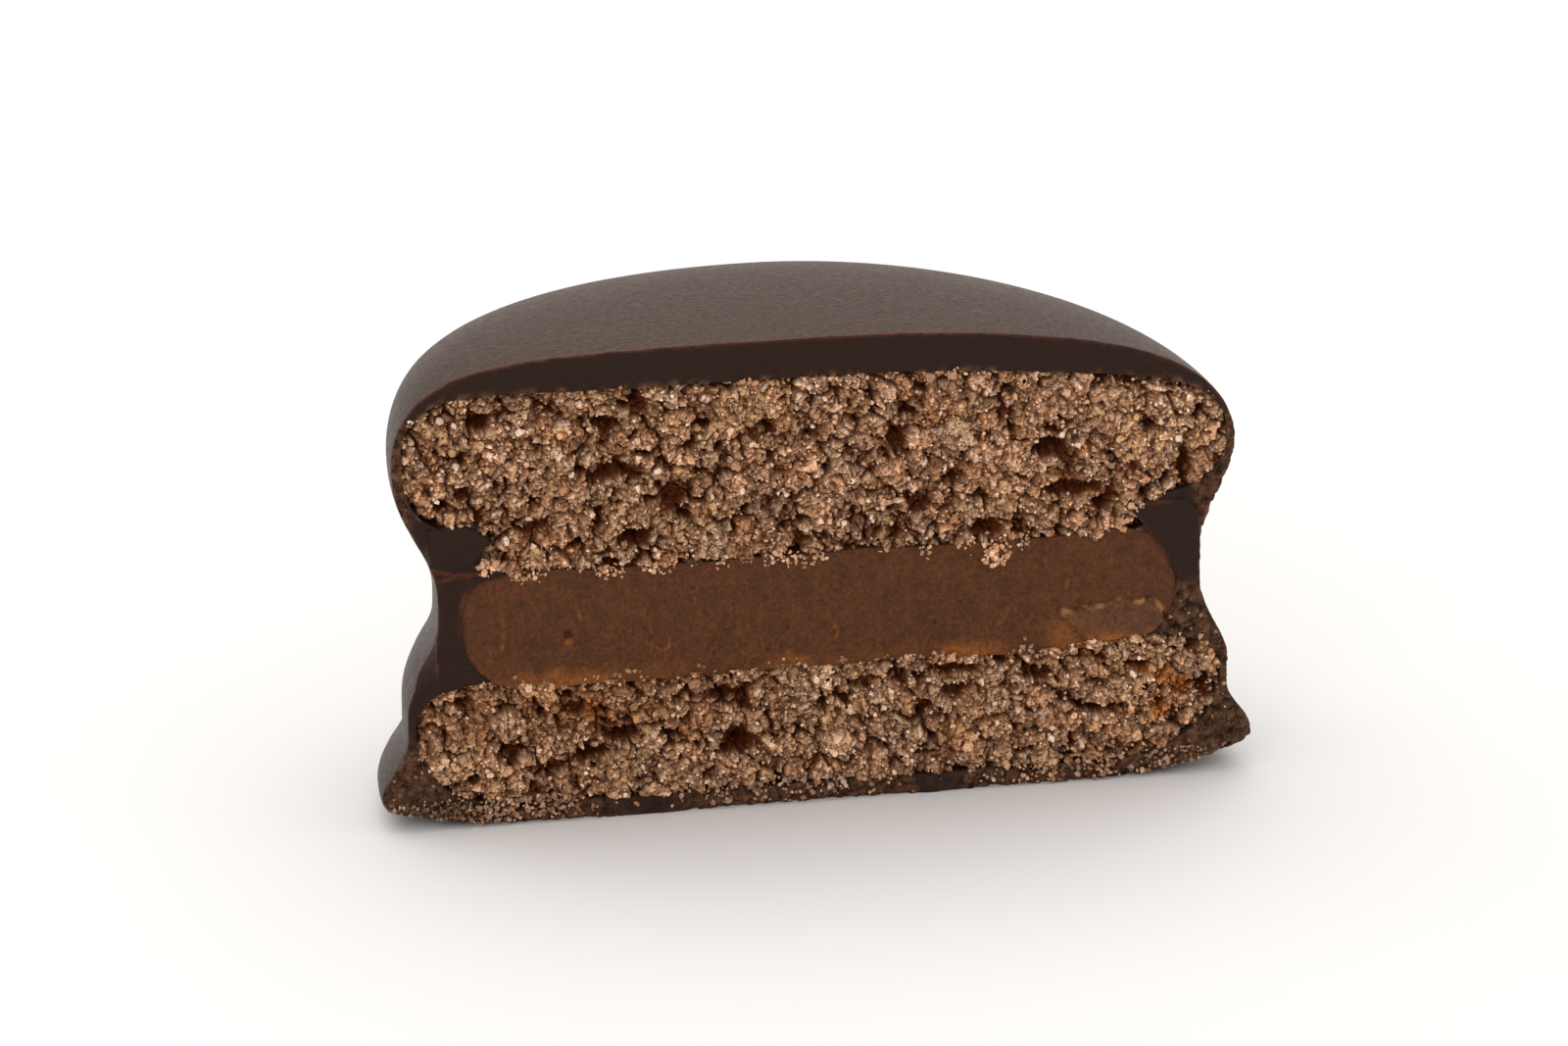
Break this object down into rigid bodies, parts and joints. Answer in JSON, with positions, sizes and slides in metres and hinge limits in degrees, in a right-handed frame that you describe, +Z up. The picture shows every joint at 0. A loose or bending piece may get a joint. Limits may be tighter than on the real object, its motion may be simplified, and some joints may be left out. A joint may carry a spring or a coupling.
{
  "type": "alfajor half",
  "caption": "Half of a round chocolate-coated sandwich biscuit, cut through the middle so that its crumb and its dulce de leche filling show.",
  "frame": {"origin": "the middle of the object's box, on the surface that it stands on", "axes": "+Z up; X along the cut face, with +X on the right as the cut is looked at; the cut face looks along -Y"},
  "size_m": [0.062, 0.0316, 0.034],
  "materials": {
    "chocolate": "satin dark chocolate, slightly dimpled, with a smooth knife-cut edge",
    "biscuit": "matt, craggy cocoa biscuit crumb",
    "filling": "dense dulce de leche with a satin knife-cut face"
  },
  "bodies": {
    "root": {"chocolate_coating": "chocolate", "top_biscuit": "biscuit", "dulce_de_leche": "filling", "bottom_biscuit": "biscuit"}
  },
  "joints": []
}
